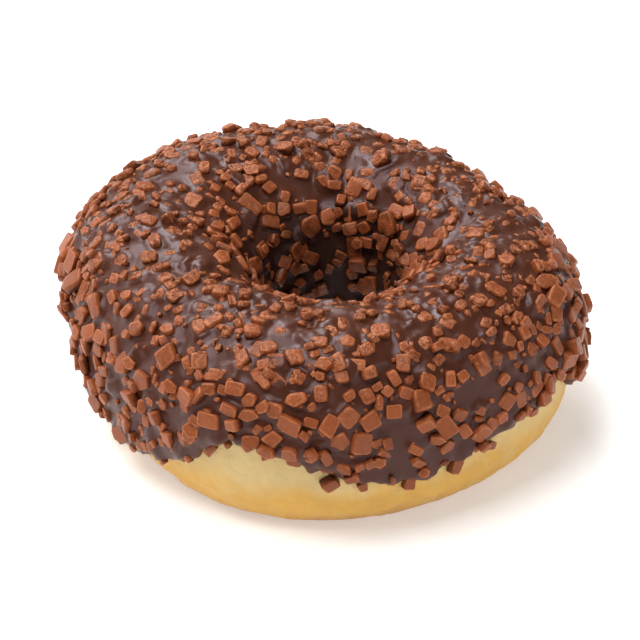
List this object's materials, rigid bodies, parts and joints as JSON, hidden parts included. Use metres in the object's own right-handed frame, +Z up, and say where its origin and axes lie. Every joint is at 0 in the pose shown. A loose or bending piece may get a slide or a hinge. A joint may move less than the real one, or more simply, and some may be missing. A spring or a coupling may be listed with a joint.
{
  "type": "sprinkle frosted doughnut",
  "caption": "Fried yeast dough ring, dipped in dark chocolate icing that runs down into its hole and is covered in small blocky chips of milk chocolate.",
  "frame": {"origin": "under the middle of the doughnut's box, on the surface that it rests on", "axes": "+Z up through the hole, out of the iced top; -Y is the side that faces the camera in the picture"},
  "size_m": [0.0924, 0.0904, 0.0371],
  "materials": {
    "dough": "soft, matt, golden fried crust, paler at the waist",
    "icing": "satin dark chocolate icing",
    "chips": "smooth milk chocolate, slightly rounded and pitted"
  },
  "bodies": {
    "root": {"dough": "dough", "icing": "icing"}
  },
  "joints": []
}
